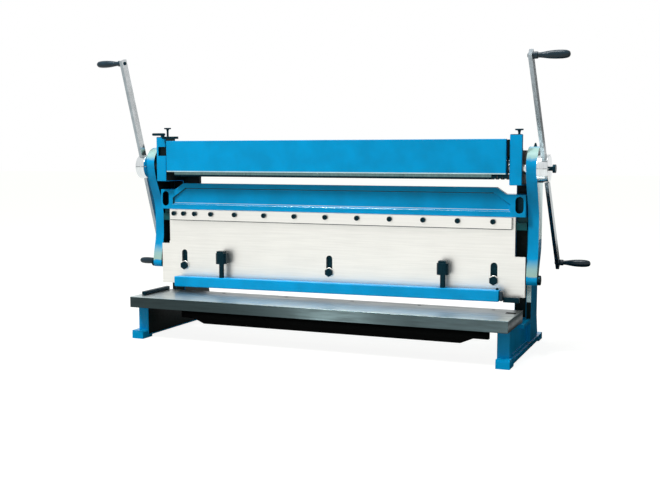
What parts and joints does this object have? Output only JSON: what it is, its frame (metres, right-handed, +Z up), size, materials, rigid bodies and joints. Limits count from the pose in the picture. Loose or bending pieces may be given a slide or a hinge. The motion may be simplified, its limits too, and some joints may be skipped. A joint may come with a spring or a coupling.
{
  "type": "combination sheet metal machine",
  "caption": "Hand-cranked combination machine that shears, bends and rolls sheet metal, with eccentric drive, ram, blade plate, hold-down bar and slip rolls",
  "frame": {"origin": "on the floor, midway across the machine in X and midway in Y between the foremost corner of the right crank bar and the rear end of the feet", "axes": "X along the table to the operator's right, Y from the front of the table to the rear, Z up"},
  "size_m": [1.785, 0.6924, 1.0495],
  "materials": {
    "blue_enamel": "glossy blue enamel on cast iron",
    "bright_steel": "finely ground bright steel",
    "ground_steel": "ground and oiled steel",
    "polished_steel": "polished steel",
    "blackened_steel": "blackened steel",
    "black_plastic": "moulded black plastic"
  },
  "bodies": {
    "stand": {"left_side_frame": "blue_enamel", "right_side_frame": "blue_enamel", "table": "ground_steel", "lower_blade": "ground_steel", "side_gauge": "blackened_steel", "upper_cross_rail": "blue_enamel", "lower_cross_rail": "blue_enamel", "brake_beam": "blue_enamel", "finger_1": "ground_steel", "finger_2": "ground_steel", "finger_3": "ground_steel", "finger_4": "ground_steel", "finger_5": "ground_steel", "finger_6": "ground_steel", "finger_7": "ground_steel", "latch_plate": "blackened_steel"},
    "ram": {"ram_beam": "blue_enamel", "blade_plate": "bright_steel", "plate_bolt_left": "blackened_steel", "plate_bolt_middle": "blackened_steel", "plate_bolt_right": "blackened_steel", "clamp_strip": "bright_steel", "guide_block_left": "blue_enamel", "guide_block_right": "blue_enamel", "spring_housing_left": "blackened_steel", "spring_housing_right": "blackened_steel"},
    "hold_down": {"hold_down_bar": "blue_enamel", "hold_down_end_cap": "black_plastic", "hold_down_post_left": "blackened_steel", "hold_down_post_right": "blackened_steel"},
    "crank": {"eccentric_shaft": "ground_steel", "left_eccentric": "ground_steel", "right_eccentric": "ground_steel", "left_hub": "polished_steel", "right_hub": "polished_steel", "left_crank_bar": "ground_steel", "right_crank_bar": "ground_steel", "left_end_bolt": "polished_steel", "right_end_bolt": "polished_steel"},
    "left_link": {"left_link": "blue_enamel", "left_link_pin": "blackened_steel"},
    "right_link": {"right_link": "blue_enamel", "right_link_pin": "blackened_steel"},
    "lower_roll": {"lower_roll": "polished_steel"},
    "upper_roll_blocks": {"upper_roll_block_left": "ground_steel", "upper_roll_block_right": "ground_steel"},
    "upper_roll": {"upper_roll": "polished_steel"},
    "rear_roll_blocks": {"rear_roll_block_left": "ground_steel", "rear_roll_block_right": "ground_steel"},
    "rear_roll": {"rear_roll": "polished_steel"},
    "release_lever": {"release_lever": "blackened_steel"},
    "roll_screw_left": {"roll_screw_left": "blackened_steel"},
    "roll_screw_right": {"roll_screw_right": "blackened_steel"},
    "rear_screw_left": {"rear_screw_left": "blackened_steel"},
    "rear_screw_right": {"rear_screw_right": "blackened_steel"},
    "left_upper_grip": {"left_upper_grip": "black_plastic"},
    "left_lower_grip": {"left_lower_grip": "black_plastic"},
    "right_upper_grip": {"right_upper_grip": "black_plastic"},
    "right_lower_grip": {"right_lower_grip": "black_plastic"}
  },
  "joints": [
    {"name": "ram_stroke", "type": "slide", "parent": "stand", "child": "ram", "axis": [0, 0, 1], "range_m": [-0.0459, 0.029]},
    {"name": "crank_turn", "type": "hinge", "parent": "stand", "child": "crank", "pos_m": [0, -0.02981, 0.63972], "axis": [1, 0, 0], "range_deg": [-110.3, 69.7]},
    {"name": "left_link_swing", "type": "hinge", "parent": "crank", "child": "left_link", "pos_m": [-0.73485, 0.00673, 0.64816], "axis": [1, 0, 0], "range_deg": [-69.7, 110.3]},
    {"name": "right_link_swing", "type": "hinge", "parent": "crank", "child": "right_link", "pos_m": [0.73485, 0.00673, 0.64816], "axis": [1, 0, 0], "range_deg": [-69.7, 110.3]},
    {"name": "hold_down_slide", "type": "slide", "parent": "ram", "child": "hold_down", "axis": [0, 0, 1], "range_m": [-0.0176, 0.0278]},
    {"name": "lower_roll_turn", "type": "hinge", "parent": "stand", "child": "lower_roll", "pos_m": [0, -0.01056, 0.67592], "axis": [1, 0, 0], "range_deg": [-69.7, 110.3]},
    {"name": "upper_roll_lift", "type": "slide", "parent": "stand", "child": "upper_roll_blocks", "axis": [0, 0, 1], "range_m": [0, 0.002]},
    {"name": "upper_roll_turn", "type": "hinge", "parent": "upper_roll_blocks", "child": "upper_roll", "pos_m": [0, -0.01056, 0.71022], "axis": [1, 0, 0], "range_deg": [-110.3, 69.7]},
    {"name": "rear_roll_lift", "type": "slide", "parent": "stand", "child": "rear_roll_blocks", "axis": [0, 0, 1], "range_m": [0, 0.012]},
    {"name": "rear_roll_turn", "type": "hinge", "parent": "rear_roll_blocks", "child": "rear_roll", "pos_m": [0, 0.03544, 0.66692], "axis": [1, 0, 0], "continuous": true},
    {"name": "roll_screw_left_turn", "type": "hinge", "parent": "upper_roll_blocks", "child": "roll_screw_left", "pos_m": [-0.6833, -0.01056, 0.75342], "axis": [0, 0, 1], "range_deg": [0, 577]},
    {"name": "rear_screw_left_turn", "type": "hinge", "parent": "rear_roll_blocks", "child": "rear_screw_left", "pos_m": [-0.6833, 0.03544, 0.70042], "axis": [0, 0, 1], "range_deg": [0, 2881]},
    {"name": "roll_screw_right_turn", "type": "hinge", "parent": "upper_roll_blocks", "child": "roll_screw_right", "pos_m": [0.6833, -0.01056, 0.75342], "axis": [0, 0, 1], "range_deg": [0, 577]},
    {"name": "rear_screw_right_turn", "type": "hinge", "parent": "rear_roll_blocks", "child": "rear_screw_right", "pos_m": [0.6833, 0.03544, 0.70042], "axis": [0, 0, 1], "range_deg": [0, 2881]},
    {"name": "release_lever_turn", "type": "hinge", "parent": "stand", "child": "release_lever", "pos_m": [-0.6833, -0.04721, 0.75372], "axis": [0, 0, 1], "range_deg": [0, 90]},
    {"name": "left_upper_grip_turn", "type": "hinge", "parent": "crank", "child": "left_upper_grip", "pos_m": [-0.7825, -0.16264, 1.0255], "axis": [1, 0, 0], "continuous": true},
    {"name": "left_lower_grip_turn", "type": "hinge", "parent": "crank", "child": "left_lower_grip", "pos_m": [-0.7825, 0.10302, 0.25395], "axis": [1, 0, 0], "continuous": true},
    {"name": "right_upper_grip_turn", "type": "hinge", "parent": "crank", "child": "right_upper_grip", "pos_m": [0.7825, -0.32141, 0.98115], "axis": [1, 0, 0], "continuous": true},
    {"name": "right_lower_grip_turn", "type": "hinge", "parent": "crank", "child": "right_lower_grip", "pos_m": [0.7825, 0.26179, 0.2983], "axis": [1, 0, 0], "continuous": true}
  ],
  "couplings": [
    {"joint": "crank_turn", "follows": "ram_stroke", "rad_per_m": 41.888},
    {"joint": "left_link_swing", "follows": "ram_stroke", "rad_per_m": -41.888},
    {"joint": "right_link_swing", "follows": "ram_stroke", "rad_per_m": -41.888},
    {"joint": "hold_down_slide", "follows": "ram_stroke", "ratio": -0.605},
    {"joint": "lower_roll_turn", "follows": "ram_stroke", "rad_per_m": -41.888},
    {"joint": "upper_roll_turn", "follows": "ram_stroke", "rad_per_m": 41.888},
    {"joint": "roll_screw_left_turn", "follows": "upper_roll_lift", "rad_per_m": 5026.6},
    {"joint": "roll_screw_right_turn", "follows": "upper_roll_lift", "rad_per_m": 5026.6},
    {"joint": "rear_screw_left_turn", "follows": "rear_roll_lift", "rad_per_m": 4188.8},
    {"joint": "rear_screw_right_turn", "follows": "rear_roll_lift", "rad_per_m": 4188.8}
  ]
}
